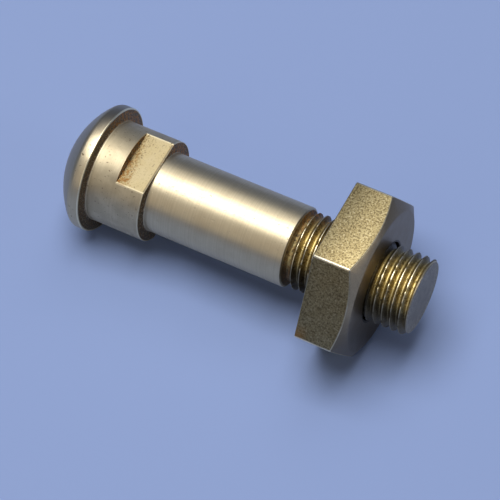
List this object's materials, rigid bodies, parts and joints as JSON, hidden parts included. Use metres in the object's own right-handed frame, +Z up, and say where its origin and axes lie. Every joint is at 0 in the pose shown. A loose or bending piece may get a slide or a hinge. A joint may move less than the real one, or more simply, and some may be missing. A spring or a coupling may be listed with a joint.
{
  "type": "shoulder bolt with nut",
  "caption": "Turned shoulder bolt with a domed flange head, a flatted collar, a plain shank and a threaded end carrying a chamfered hexagon nut.",
  "frame": {"origin": "on the surface it lies on, under the middle of the pair's box", "axes": "+X towards the threaded end, +Z up, +Y to the far side; the bolt's axis lies in the XZ plane and climbs 2.9 degrees towards +X"},
  "size_m": [0.0464, 0.022, 0.0193],
  "materials": {
    "turned_metal": "satin turned, with fine lathe lines round it, warm pale metal, brown specks in the corners",
    "nut_metal": "fine grained flats, smoother turned chamfer and faces, bright edges, warm pale metal"
  },
  "bodies": {
    "bolt": {"shoulder_bolt": "turned_metal"},
    "nut": {"hex_nut": "nut_metal"}
  },
  "joints": [
    {"name": "nut_run", "type": "slide", "parent": "bolt", "child": "nut", "axis": [0.9987, 0, 0.0511], "range_m": [-0.0049, 0.016]}
  ]
}
